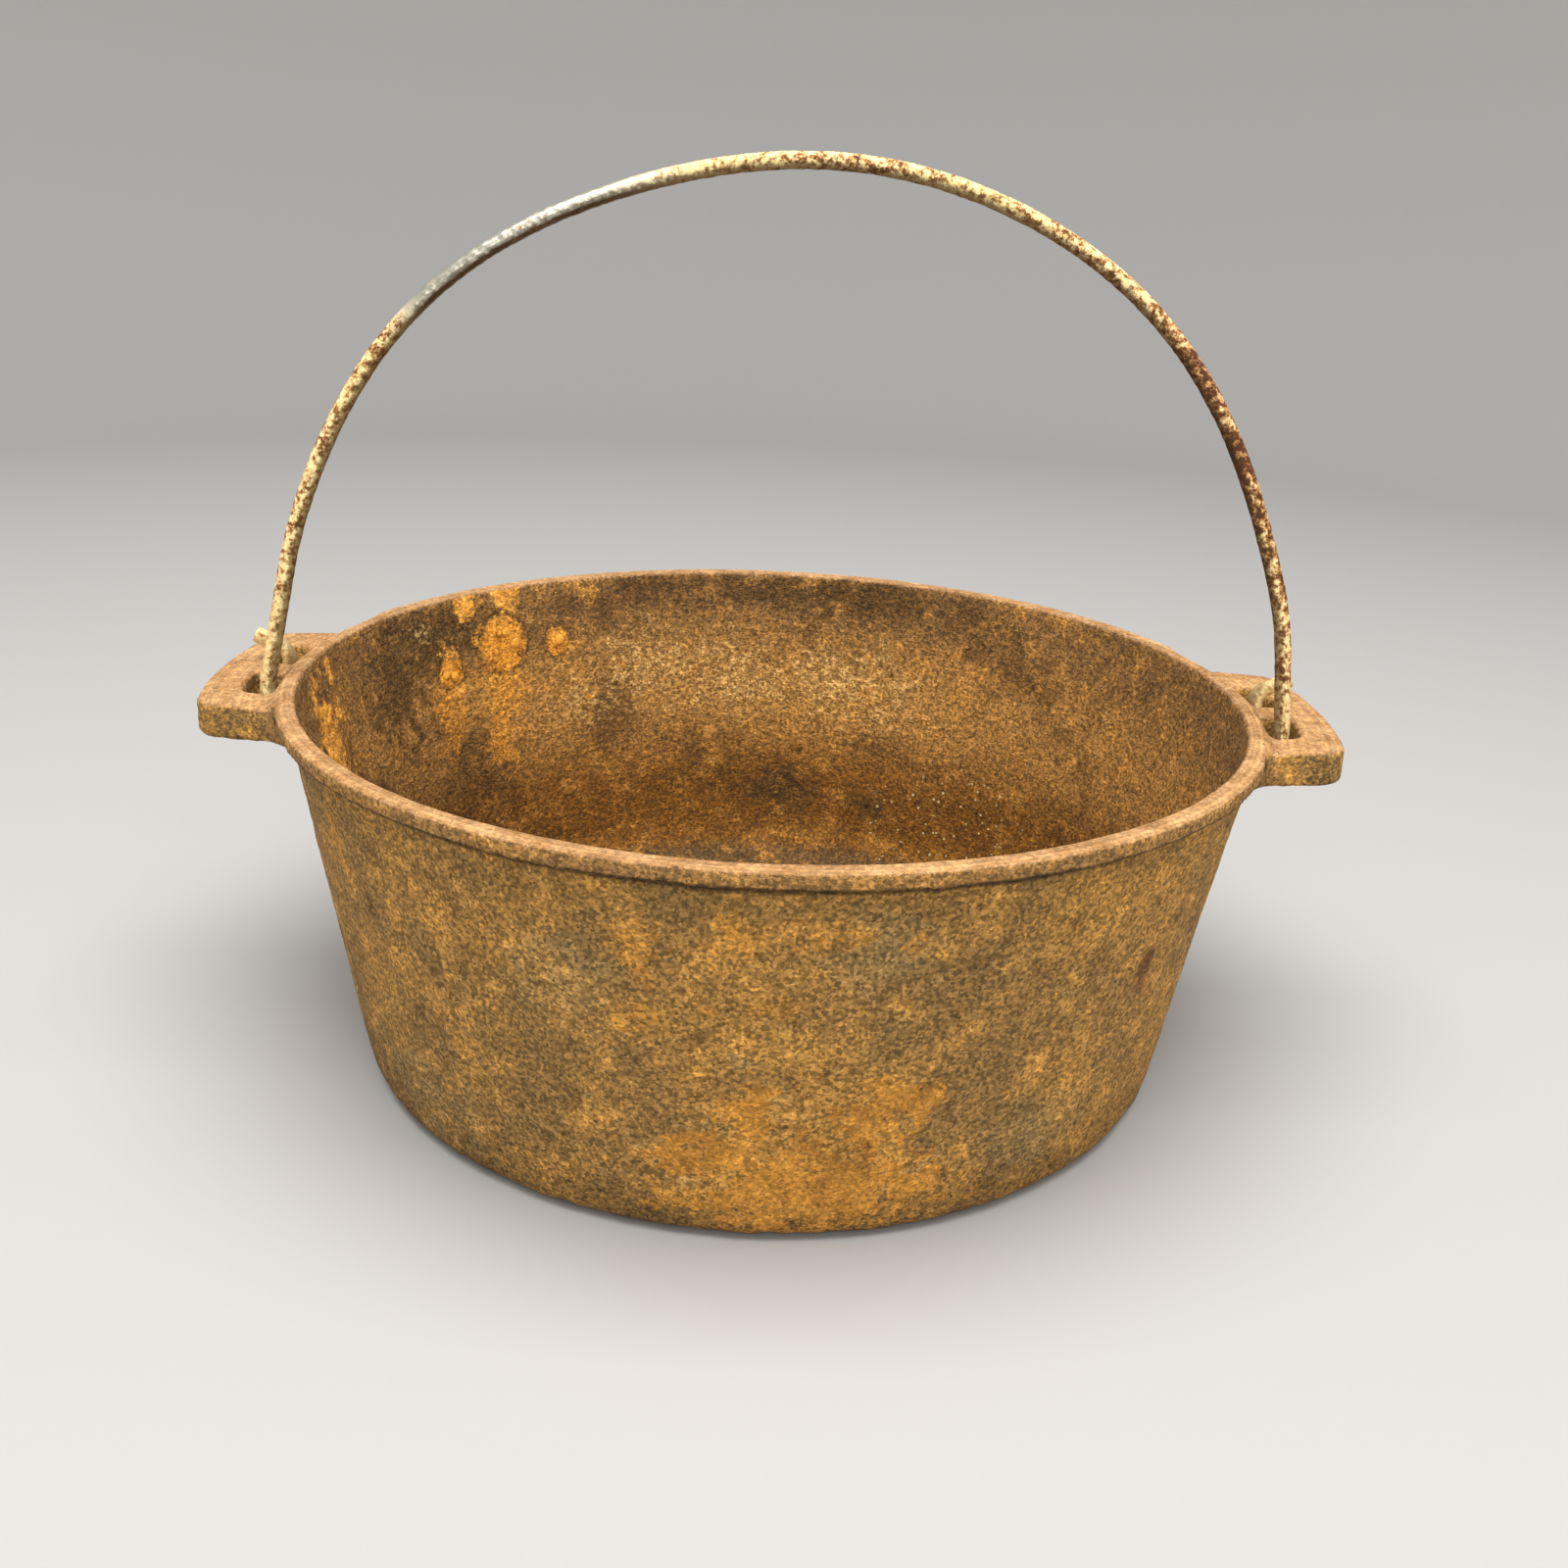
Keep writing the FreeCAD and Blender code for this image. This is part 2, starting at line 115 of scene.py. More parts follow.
OUTSIDE_BLOOMS = [
    (14, -113, 15, 32, 13),  # the big bloom at the front of the base, with its horns
    (-10, -115, 24, 14, 10),
    (-1, -118, 38, 6, 9),
    (24, -114, 33, 10, 8),
    (34, -111, 40, 6, 8),
    (28, -117, 44, 5, 4),
    (-27, -122, 79, 7, 7),
    (-24, -121, 71, 3, 3),
    (-11, -121, 64, 3, 2),
    (3, -121, 66, 5, 3),
    (31, -121, 82, 3, 3),
    (14, -124, 84, 9, 4),
    (-6, -124, 84, 8, 5),
    (-27, -118, 61, 6, 5),
    (-101, -73, 80, 4, 12),
    (-122, 24, 80, 4, 22),  # runs below the left ear
    (-121, -34, 72, 4, 20),
    (92, 74, 40, 14, 12),  # and round the back, placed by choice
    (-60, 100, 30, 22, 14),
    (10, 122, 70, 16, 12),
]
INSIDE_BLOOMS = [
    (-99, 75, 98, 5, 7),  # two lobes hanging from the rim
    (-88, 87, 98, 5, 7),
    (-89, 83, 83, 9, 9),  # the blistered rings
    (-102, 65, 78, 5, 7),
    (-73, 97, 81, 4, 5),
    (-121, -4, 78, 11, 16),
    (-123, 8, 94, 2, 7),
    (60, -100, 62, 14, 16),
    (-40, -112, 80, 8, 10),
]
WASHES = [
    (-89, 80, 68, 9, 14),  # rust that has run down from the blisters
    (-88, 76, 54, 8, 9),
    (-101, 61, 64, 7, 13),
    (-118, -6, 60, 9, 12),
]
RINGS = [(-89, 83, 83, 9.5), (-102, 65, 78, 5.5), (-73, 97, 81, 4.5)]  # x, y, z and radius
BLISTERED = [
    (-89, 83, 83, 9, 9),
    (-102, 65, 78, 5, 6),
    (-73, 97, 81, 3, 3),
    (-121, -4, 80, 9, 12),
    (60, -100, 66, 8, 8),
]
PALE_CRUSTS = [
    (-44, 111, 70, 16, 13),
    (-16, 117, 66, 18, 12),
    (24, 116, 64, 26, 12),
    (-60, 99, 62, 9, 9),
    (-109, 58, 92, 5, 4),
]
# patches of painted shade inside the bowl: the upper left, under the rim at the back, and low on the back
# wall
PAINTED_SHADE_INSIDE = [
    (-106, 62, 90, 26, 13),
    (-112, 40, 80, 14, 20),
    (10, 119, 94, 60, 8),
    (4, 112, 27, 12, 8),
    (34, 106, 24, 6, 5),
]
GREY_PATCHES = [
    (24, -122, 80, 13, 10),
    (-41, -115, 67, 13, 12),
    (-10, -116, 31, 9, 5),
    (3, -118, 42, 4, 5),
    (-4, -119, 52, 3, 3),
    (66, -94, 20, 18, 10),
    (-80, -84, 16, 20, 12),
]
GRIT = (58, 92, 26, 30, 16)
DRIP = (89, -81, 60, 3, 9)


def patches(tree, place, spots, ragged):
    """How far a place lies inside any of the patches: 1 in their middles, fading to 0 past their edges."""
    found = None
    for x, y, z, half_width, half_height in spots:
        middle = (x / 1000, y / 1000, z / 1000)
        away = add(tree, "ShaderNodeVectorMath", {0: place, 1: middle}, operation="SUBTRACT")
        squeeze = (1000 / half_width, 1000 / half_width, 1000 / half_height)
        sized = add(tree, "ShaderNodeVectorMath", {0: away, 1: squeeze}, operation="MULTIPLY")
        reach = add(tree, "ShaderNodeVectorMath", {0: sized}, out="Value", operation="LENGTH")
        inside = sums(tree, "SUBTRACT", 1.3, reach)
        found = inside if found is None else sums(tree, "MAXIMUM", found, inside)
    return fade(tree, sums(tree, "ADD", found, ragged), 0.0, 0.9)


def casting_patterns(tree, place):
    """The places of rust, crust, blisters and pits on the casting, for its relief and its colour."""
    height = add(tree, "ShaderNodeSeparateXYZ", {0: place}, out="Z")
    flat = add(tree, "ShaderNodeVectorMath", {0: place, 1: (1, 1, 0)}, operation="MULTIPLY")
    radius = add(tree, "ShaderNodeVectorMath", {0: flat}, out="Value", operation="LENGTH")

    # inside the bowl: nearer the axis than the middle of the wall, and above the middle of the floor
    wall_middle = add(
        tree,
        "ShaderNodeMapRange",
        {
            "Value": height,
            "From Min": 0.0,
            "From Max": POT_HEIGHT / 1000,
            "To Min": WALL_MIDDLE_AT_BASE / 1000,
            "To Max": WALL_MIDDLE_AT_RIM / 1000,
        },
        clamp=False,
    )
    within = sums(tree, "LESS_THAN", radius, wall_middle)
    above = sums(tree, "GREATER_THAN", height, FLOOR_THICK / 2 / 1000)
    inside = sums(tree, "MULTIPLY", within, above)

    # ragged edges: 7 mm tongues with 1 mm fringes
    tongues = add(
        tree, "ShaderNodeTexNoise", {"Vector": place, "Scale": grain(7), "Detail": 5.0, "Roughness": 0.7}
    )
    ragged = fade(tree, tongues, 0.30, 0.70, -0.6, 0.6)
    outside = sums(tree, "SUBTRACT", 1.0, inside)
    thinner = sums(tree, "MULTIPLY", outside, fade(tree, height, 0.042, 0.058, 1.0, 0.5))
    bloom = sums(
        tree,
        "ADD",
        sums(tree, "MULTIPLY", thinner, patches(tree, place, OUTSIDE_BLOOMS, ragged)),
        sums(tree, "MULTIPLY", inside, patches(tree, place, INSIDE_BLOOMS, ragged)),
    )
    crust = sums(tree, "MULTIPLY", inside, patches(tree, place, PALE_CRUSTS, ragged))

    # blisters, 3 to 4 mm across, in the thick rust inside
    cells = add(
        tree,
        "ShaderNodeTexVoronoi",
        {"Vector": place, "Scale": grain(4.0), "Randomness": 0.8},
        out="Distance",
        feature="F1",
    )
    blistered = sums(tree, "MULTIPLY", inside, patches(tree, place, BLISTERED, 0.0))
    blister = sums(tree, "MULTIPLY", fade(tree, cells, 0.56, 0.34), blistered)

    # pits, 1 to 2 mm across, thinly spread
    pit_noise = add(tree, "ShaderNodeTexNoise", {"Vector": place, "Scale": grain(2.6), "Detail": 2.0})
    pits = fade(tree, pit_noise, 0.66, 0.76)
    return {
        "height": height,
        "radius": radius,
        "inside": inside,
        "outside": outside,
        "ragged": ragged,
        "bloom": bloom,
        "crust": crust,
        "blister": blister,
        "pits": pits,
    }


# ---------------------------------------------------------------------------------------------------
# Geometry Nodes


def new_tree(name, sizes):
    """An empty geometry tree with a geometry socket, a material socket and named sizes."""
    tree = bpy.data.node_groups.new(name, "GeometryNodeTree")
    tree.interface.new_socket("Geometry", in_out="INPUT", socket_type="NodeSocketGeometry")
    for size, default in sizes.items():
        kind = "NodeSocketInt" if isinstance(default, int) else "NodeSocketFloat"
        tree.interface.new_socket(size, in_out="INPUT", socket_type=kind).default_value = default
    tree.interface.new_socket("Material", in_out="INPUT", socket_type="NodeSocketMaterial")
    tree.interface.new_socket("Geometry", in_out="OUTPUT", socket_type="NodeSocketGeometry")
    return tree, tree.nodes.new("NodeGroupInput").outputs


def close_tree(tree, given, shape):
    """Ends a tree: smooth faces (all but a wire's cut ends), no instances left, the material set."""
    corners = add(tree, "GeometryNodeInputMeshFaceNeighbors", out="Vertex Count")
    sides = add(tree, "FunctionNodeCompare", {"A": corners, "B": 5}, data_type="INT", operation="LESS_THAN")
    smooth = add(tree, "GeometryNodeSetShadeSmooth", {"Geometry": shape, "Selection": sides})
    solid = add(tree, "GeometryNodeRealizeInstances", {"Geometry": smooth})
    coated = add(tree, "GeometryNodeSetMaterial", {"Geometry": solid, "Material": given["Material"]})
    tree.links.new(coated, tree.nodes.new("NodeGroupOutput").inputs[0])


def run_tree(piece, tree, **values):
    """Puts a tree on a piece as a modifier, its inputs set by identifier."""
    modifier = piece.modifiers.new(tree.name, "NODES")
    modifier.node_group = tree
    for item in tree.interface.items_tree:
        if item.item_type == "SOCKET" and item.in_out == "INPUT" and item.name in values:
            modifier[item.identifier] = values[item.name]
    return modifier


def settle(piece, name):
    """The piece as its modifiers leave it, a plain mesh of its own; the worked piece is thrown away."""
    depsgraph = bpy.context.evaluated_depsgraph_get()
    mesh = bpy.data.meshes.new_from_object(piece.evaluated_get(depsgraph))
    mesh.name = name
    bpy.data.objects.remove(piece)
    made = bpy.data.objects.new(name, mesh)
    bpy.context.scene.collection.objects.link(made)
    return made


def cast_skin_tree():
    """Sand-cast iron that has rusted: a slow waviness, lumps, crust, blisters and pits.

    First the step from each ear to the rim is softened, as the mould left it. The relief then stands
    both above and below the casting's own surface; what would pass the casting's greatest sizes is
    brought back just inside them, which also leaves the base flat where it stands.
    """
    tree, given = new_tree(
        "Rusted Cast Skin",
        {
            "Ear Softening": 40,
            "Waviness": 0.00045,
            "Lumps": 0.00028,
            "Crust": 0.00022,
            "Bloom": 0.00015,
            "Blister": 0.0007,
            "Pit": 0.0003,
        },
    )
    place = add(tree, "GeometryNodeInputPosition")
    flat = add(tree, "ShaderNodeVectorMath", {0: place, 1: (1, 1, 0)}, operation="MULTIPLY")
    radius = add(tree, "ShaderNodeVectorMath", {0: flat}, out="Value", operation="LENGTH")
    sideways = sums(tree, "ABSOLUTE", add(tree, "ShaderNodeSeparateXYZ", {0: place}, out="X"))
    rim = RIM_RADIUS / 1000
    from_inside = fade(tree, radius, rim - 0.0032, rim - 0.0020)
    to_outside = fade(tree, radius, rim + 0.0045, rim + 0.0025)
    at_ears = sums(
        tree,
        "MULTIPLY",
        fade(tree, sideways, rim - 0.011, rim - 0.006),
        sums(tree, "MULTIPLY", from_inside, to_outside),
    )
    softened = add(
        tree,
        "GeometryNodeBlurAttribute",
        {"Value": place, "Iterations": given["Ear Softening"], "Weight": at_ears},
        data_type="FLOAT_VECTOR",
    )
    joined = add(tree, "GeometryNodeSetPosition", {"Geometry": given["Geometry"], "Position": softened})
    field = casting_patterns(tree, place)
    # the rim band was ground true and the crust is thicker inside, where water stood
    band_starts, band_full = (POT_HEIGHT - RIM_BAND - 1) / 1000, (POT_HEIGHT - 3) / 1000
    kept = fade(tree, field["height"], band_starts, band_full, 1.0, 0.35)
    thicker = fade(tree, field["inside"], 0, 1, 0.8, 1.4)
    raised = sums(tree, "MULTIPLY", field["blister"], given["Blister"])
    for size, spread, share in (("Waviness", 42, 1.0), ("Lumps", 10, 1.0), ("Crust", 3.4, thicker)):
        noise = add(tree, "ShaderNodeTexNoise", {"Vector": place, "Scale": grain(spread), "Detail": 3.0})
        swell = sums(tree, "MULTIPLY", fade(tree, noise, 0.25, 0.75, -0.5, 0.5), given[size])
        raised = sums(tree, "ADD", raised, sums(tree, "MULTIPLY", swell, share))
    edge = sums(tree, "MULTIPLY", fade(tree, field["bloom"], 0.1, 0.8), given["Bloom"])
    raised = sums(tree, "ADD", raised, edge)
    raised = sums(tree, "SUBTRACT", raised, sums(tree, "MULTIPLY", field["pits"], given["Pit"]))
    move = add(
        tree,
        "ShaderNodeVectorMath",
        {0: add(tree, "GeometryNodeInputNormal"), "Scale": sums(tree, "MULTIPLY", raised, kept)},
        operation="SCALE",
    )
    moved = add(tree, "ShaderNodeVectorMath", {0: place, 1: move}, operation="ADD")
    low, high = casting_box()
    moved = add(tree, "ShaderNodeVectorMath", {0: moved, 1: low}, operation="MAXIMUM")
    moved = add(tree, "ShaderNodeVectorMath", {0: moved, 1: high}, operation="MINIMUM")
    shape = add(tree, "GeometryNodeSetPosition", {"Geometry": joined, "Position": moved})
    close_tree(tree, given, shape)
    return tree


def casting_box():
    """The lowest and highest corner of the casting, in metres, each brought in by a twentieth of a mm."""
    inset = 0.00005
    corners = [Vector(c) for c in bpy.data.objects["pot_casting"].bound_box]
    low, high = map(min, *corners), map(max, *corners)
    return tuple(c + inset for c in low), tuple(c - inset for c in high)


def wire_tree():
    """Round wire run along a line, closed at its cut ends, its skin sunk a little between flakes of rust."""
    tree, given = new_tree(
        "Bail Wire",
        {
            "Wire Radius": WIRE_RADIUS / 1000,
            "Ring Spacing": 0.0005,
            "Sides": 28,
            "Flakes": 0.00012,
            "Draw Waves": 0.00008,
        },
    )
    line = add(
        tree,
        "GeometryNodeResampleCurve",
        {"Curve": given["Geometry"], "Length": given["Ring Spacing"]},
        mode="LENGTH",
    )
    run = add(tree, "GeometryNodeSplineParameter", out="Factor")
    marked = add(
        tree,
        "GeometryNodeStoreNamedAttribute",
        {"Geometry": line, "Name": "run", "Value": run},
        data_type="FLOAT",
        domain="POINT",
    )
    around = add(
        tree,
        "GeometryNodeCurvePrimitiveCircle",
        {"Resolution": given["Sides"], "Radius": given["Wire Radius"]},
    )
    tube = add(
        tree,
        "GeometryNodeCurveToMesh",
        {"Curve": marked, "Profile Curve": around, "Fill Caps": True},
    )
    place = add(tree, "GeometryNodeInputPosition")
    flakes = add(tree, "ShaderNodeTexNoise", {"Vector": place, "Scale": grain(1.6), "Detail": 3.0})
    waves = add(tree, "ShaderNodeTexNoise", {"Vector": place, "Scale": grain(9), "Detail": 2.0})
    raised = sums(tree, "MULTIPLY", fade(tree, flakes, 0.35, 0.65, -1, 0), given["Flakes"])
    uneven = sums(tree, "MULTIPLY", fade(tree, waves, 0.3, 0.7, -1, 0), given["Draw Waves"])
    raised = sums(tree, "ADD", raised, uneven)
    move = add(
        tree,
        "ShaderNodeVectorMath",
        {0: add(tree, "GeometryNodeInputNormal"), "Scale": raised},
        operation="SCALE",
    )
    shape = add(tree, "GeometryNodeSetPosition", {"Geometry": tube, "Offset": move})
    close_tree(tree, given, shape)
    return tree


# ---------------------------------------------------------------------------------------------------
# Materials


def new_material(name):
    """An empty material and its tree."""
    material = bpy.data.materials.new(name)
    material.use_nodes = True
    material.node_tree.nodes.clear()
    return material, material.node_tree


def finish_material(tree, colour, roughness, metallic, bump):
    """The surface shader with its colour, roughness, bare-metal share and bump, joined to the output."""
    shader = add(
        tree,
        "ShaderNodeBsdfPrincipled",
        {
            "Base Color": colour,
            "Roughness": roughness,
            "Metallic": metallic,
            "Specular IOR Level": 0.3,
            "Normal": bump,
        },
    )
    tree.links.new(shader, tree.nodes.new("ShaderNodeOutputMaterial").inputs["Surface"])


def shaded(tree, colour, strength):
    """A colour made darker or lighter by a number, with its hue kept."""
    return add(tree, "ShaderNodeVectorMath", {0: colour, "Scale": strength}, operation="SCALE")


def rusted_cast_iron():
    """Sand-cast grey iron, unseasoned and rusted all over: a dry, matt, sandy brown.

    The eye sees a brown ground speckled at about 1 mm, blotches of lighter and darker rust 5 to
    30 mm across, bright orange blooms where water stood, and paler dust on the ground rim and ears.
    """
    material, tree = new_material("rusted sand-cast iron")
    place = add(tree, "ShaderNodeTexCoord", out="Object")
    facing = add(tree, "ShaderNodeTexCoord", out="Normal")
    upward = add(tree, "ShaderNodeSeparateXYZ", {0: facing}, out="Z")
    field = casting_patterns(tree, place)
    inside, outside = field["inside"], field["outside"]
    height, radius, ragged = field["height"], field["radius"], field["ragged"]

    # 34 mm clouds, 8.5 mm mottle, 2.4 mm flecks, 1.2 mm speckle and 0.75 mm grains; the sand's own
    # grain is about 0.4 mm and is drawn at 0.75 mm so that it shows
    clouds = add(
        tree, "ShaderNodeTexNoise", {"Vector": place, "Scale": grain(34), "Detail": 5.0, "Roughness": 0.6}
    )
    mottle = add(
        tree, "ShaderNodeTexNoise", {"Vector": place, "Scale": grain(8.5), "Detail": 6.0, "Roughness": 0.68}
    )
    lying = add(tree, "ShaderNodeVectorMath", {0: place, 1: (1, 1, 1.6)}, operation="MULTIPLY")
    flecks = add(
        tree, "ShaderNodeTexNoise", {"Vector": lying, "Scale": grain(2.4), "Detail": 4.0, "Roughness": 0.75}
    )
    speckle = add(
        tree, "ShaderNodeTexNoise", {"Vector": place, "Scale": grain(1.2), "Detail": 3.0, "Roughness": 0.85}
    )
    grains = add(
        tree, "ShaderNodeTexVoronoi", {"Vector": place, "Scale": grain(0.75)}, out="Color", feature="F1"
    )

    # outside ground: olive to tawny brown clouds, ochre mottle, dark scabs
    brown = blend(tree, fade(tree, clouds, 0.36, 0.64), linear("#7d5f32"), linear("#9b7235"))
    brown = blend(tree, fade(tree, mottle, 0.50, 0.72, 0, 0.85), brown, linear("#c08c42"))
    brown = blend(tree, fade(tree, mottle, 0.46, 0.28, 0, 0.7), brown, linear("#5a3e1b"))
    grey = patches(tree, place, GREY_PATCHES, ragged)
    brown = blend(tree, sums(tree, "MULTIPLY", grey, 0.3), brown, linear("#84724a"))
    # a faint pale tide-line, where a ring of water dried
    ring_middle = (0.009, -0.116, 0.052)
    from_ring = add(
        tree, "ShaderNodeVectorMath", {0: place, 1: ring_middle}, out="Value", operation="DISTANCE"
    )
    from_line = sums(tree, "ABSOLUTE", sums(tree, "SUBTRACT", from_ring, 0.043))
    tide = sums(tree, "MULTIPLY", fade(tree, from_line, 0.0035, 0.0005), fade(tree, flecks, 0.4, 0.6))
    low = fade(tree, height, 0.034, 0.018)
    tide = sums(tree, "MULTIPLY", sums(tree, "MULTIPLY", tide, low), 0.5)
    brown = blend(tree, tide, brown, linear("#a98a55"))
    # painted shade: the outside wall darker towards the floor
    brown = shaded(tree, brown, fade(tree, height, 0.022, 0.001, 1.0, 0.62))
    on_ears = fade(tree, radius, (RIM_RADIUS + 0.5) / 1000, (RIM_RADIUS + 3) / 1000)
    brown = shaded(tree, brown, fade(tree, on_ears, 0, 1, 1.0, 0.86))
    band = fade(tree, radius, (RIM_RADIUS - 1.5) / 1000, (RIM_RADIUS - 0.6) / 1000)
    band = sums(tree, "MULTIPLY", band, sums(tree, "SUBTRACT", 1.0, on_ears))
    brown = blend(tree, sums(tree, "MULTIPLY", band, 0.55), brown, linear("#7b5931"))
    drip = sums(tree, "MULTIPLY", patches(tree, place, [DRIP], ragged), 0.75)
    brown = blend(tree, drip, brown, linear("#562c12"))

    # inside ground: dark under the rim, tan half-way down, red-brown below, dull brown on the floor
    bowl = blend(tree, fade(tree, height, 0.066, 0.090), linear("#8e6631"), linear("#72522a"))
    bowl = blend(tree, fade(tree, height, 0.056, 0.028), bowl, linear("#704710"))
    bowl = blend(tree, fade(tree, height, 0.0100, 0.0055), bowl, linear("#58401f"))
    bowl = blend(tree, fade(tree, mottle, 0.50, 0.70, 0, 0.75), bowl, linear("#a5732f"))
    bowl = blend(tree, fade(tree, clouds, 0.50, 0.34, 0, 0.6), bowl, linear("#432b10"))
    # painted shade, laid on the bowl in the patches above
    dark = patches(tree, place, PAINTED_SHADE_INSIDE, ragged)
    bowl = blend(tree, sums(tree, "MULTIPLY", dark, 0.8), bowl, linear("#453012"))
    crust = sums(tree, "MULTIPLY", field["crust"], fade(tree, flecks, 0.48, 0.58))
    bowl = blend(tree, sums(tree, "MULTIPLY", crust, 0.7), bowl, linear("#b09058"))
    streaky = fade(tree, flecks, 0.25, 0.6, 0.45, 0.85)
    wash = sums(tree, "MULTIPLY", patches(tree, place, WASHES, ragged), streaky)
    bowl = blend(tree, wash, bowl, linear("#b57a2a"))
    # painted shade: the bowl darker towards its floor, deep inside the pot
    bowl = shaded(tree, bowl, fade(tree, height, 0.060, 0.026, 1.0, 0.76))
    # painted shade low on the left side of the bowl
    leftward = add(tree, "ShaderNodeSeparateXYZ", {0: place}, out="X")
    low_left_shade = sums(tree, "MULTIPLY", fade(tree, leftward, -0.080, -0.100), fade(tree, height, 0.072, 0.050))
    bowl = shaded(tree, bowl, fade(tree, low_left_shade, 0, 1, 1.0, 0.68))
    ground = blend(tree, inside, brown, bowl)

    # blooms of fresh rust, brighter in the bowl than outside it
    fresh = blend(tree, fade(tree, mottle, 0.35, 0.65), linear("#a06d28"), linear("#c48936"))
    fresh = shaded(tree, fresh, fade(tree, inside, 0, 1, 1.0, 1.5))
    broken = sums(tree, "ADD", field["bloom"], fade(tree, flecks, 0.3, 0.7, -0.3, 0.3))
    rusty = fade(tree, broken, 0.10, 0.85, 0, 0.95)
    colour = blend(tree, rusty, ground, fresh)
    # round each blistered patch a bright disc with a dark line at its edge
    for x, y, z, ring in RINGS:
        middle = (x / 1000, y / 1000, z / 1000)
        from_middle = add(
            tree, "ShaderNodeVectorMath", {0: place, 1: middle}, out="Value", operation="DISTANCE"
        )
        wobbling = sums(tree, "ADD", from_middle, sums(tree, "MULTIPLY", ragged, 0.0028))
        from_ring = sums(tree, "ABSOLUTE", sums(tree, "SUBTRACT", wobbling, ring / 1000))
        disc = sums(tree, "MULTIPLY", fade(tree, wobbling, ring / 1000, ring / 1400, 0, 0.8), inside)
        colour = blend(tree, disc, colour, linear("#cf882a"))
        line = sums(tree, "MULTIPLY", fade(tree, from_ring, 0.0011, 0.0004), inside)
        colour = shaded(tree, colour, fade(tree, line, 0, 1, 1.0, 0.6))
    # dust on the ground rim and the tops of the ears, with the lines left by grinding
    past_rim = fade(tree, radius, (RIM_RADIUS - 0.2) / 1000, (RIM_RADIUS + 0.6) / 1000)
    top = sums(tree, "MULTIPLY", past_rim, -(POT_HEIGHT - EAR_TOP) / 1000)
    from_top = sums(tree, "SUBTRACT", sums(tree, "ADD", top, POT_HEIGHT / 1000), height)
    worn = sums(tree, "MULTIPLY", fade(tree, from_top, 0.0020, 0.0008), fade(tree, upward, 0.2, 0.8))
    lines = add(tree, "ShaderNodeCombineXYZ", {0: radius, 1: height, 2: 0.0})
    ground_lines = add(tree, "ShaderNodeTexNoise", {"Vector": lines, "Scale": grain(1.1), "Detail": 3.0})
    dust = blend(tree, fade(tree, mottle, 0.36, 0.64), linear("#996e41"), linear("#b88e5f"))
    dust = shaded(tree, dust, fade(tree, ground_lines, 0.35, 0.65, 0.8, 1.15))
    colour = blend(tree, sums(tree, "MULTIPLY", worn, 0.9), colour, dust)

    # painted shadow under the overhanging rim band: the wall just below the band is darkened
    underside = POT_HEIGHT - RIM_BAND
    below = fade(tree, height, (underside - 3.0) / 1000, (underside - 1.3) / 1000)
    not_above = fade(tree, height, (underside + 0.9) / 1000, (underside + 0.3) / 1000)
    tucked_in = fade(tree, radius, (RIM_RADIUS + 0.3) / 1000, (RIM_RADIUS - 0.4) / 1000)
    band_shadow = sums(
        tree,
        "MULTIPLY",
        sums(tree, "MULTIPLY", below, not_above),
        sums(tree, "MULTIPLY", tucked_in, outside),
    )
    # the painted shadow line under the rim band
    colour = shaded(tree, colour, fade(tree, band_shadow, 0, 1, 1.0, 0.25))

    # the speckle: dark between the grains, pale on them; weak on the ground faces and in thick rust
    contrast = sums(
        tree,
        "MULTIPLY",
        fade(tree, speckle, 0.34, 0.66, 0.88, 1.50),
        sums(
            tree,
            "MULTIPLY",
            fade(tree, grains, 0.15, 0.85, 0.64, 1.68),
            fade(tree, flecks, 0.34, 0.66, 0.85, 1.18),
        ),
    )
    kept = sums(tree, "MULTIPLY", fade(tree, worn, 0, 1, 1.0, 0.4), fade(tree, rusty, 0, 1, 1.0, 0.6))
    contrast = sums(tree, "ADD", sums(tree, "MULTIPLY", contrast, kept), sums(tree, "SUBTRACT", 1.0, kept))
    colour = shaded(tree, colour, contrast)
    colour = blend(tree, sums(tree, "MULTIPLY", field["pits"], 0.6), colour, linear("#2a1a0a"))

    # the blisters: bright caps, each in a darker rim
    blister = field["blister"]
    rims = sums(tree, "MULTIPLY", fade(tree, blister, 0.05, 0.3), fade(tree, blister, 0.7, 0.4))
    colour = shaded(tree, colour, fade(tree, rims, 0, 1, 1.0, 0.6))
    capped = fade(tree, blister, 0.45, 0.75, 0, 0.9)
    colour = blend(tree, capped, colour, linear("#f5aa3c"))

    # pale grit lying in the bowl, grains of about 0.8 mm
    grit_cells = add(
        tree, "ShaderNodeTexVoronoi", {"Vector": place, "Scale": grain(2.6)}, out="Distance", feature="F1"
    )
    grit_here = sums(tree, "MULTIPLY", inside, patches(tree, place, [GRIT], ragged))
    grit = sums(tree, "MULTIPLY", fade(tree, grit_cells, 0.22, 0.14), grit_here)
    colour = blend(tree, grit, colour, linear("#e2c891"))

    roughness = fade(tree, speckle, 0.3, 0.7, 0.75, 0.95)
    tooth = add(
        tree, "ShaderNodeTexNoise", {"Vector": lying, "Scale": grain(1.0), "Detail": 3.0, "Roughness": 0.65}
    )
    bumpy = sums(tree, "ADD", tooth, sums(tree, "MULTIPLY", flecks, 1.6))
    bumpy = sums(tree, "ADD", bumpy, sums(tree, "MULTIPLY", grit, 0.8))
    bump = add(tree, "ShaderNodeBump", {"Strength": 0.9, "Distance": 0.0008, "Height": bumpy})
    finish_material(tree, colour, roughness, 0.0, bump)
    return material


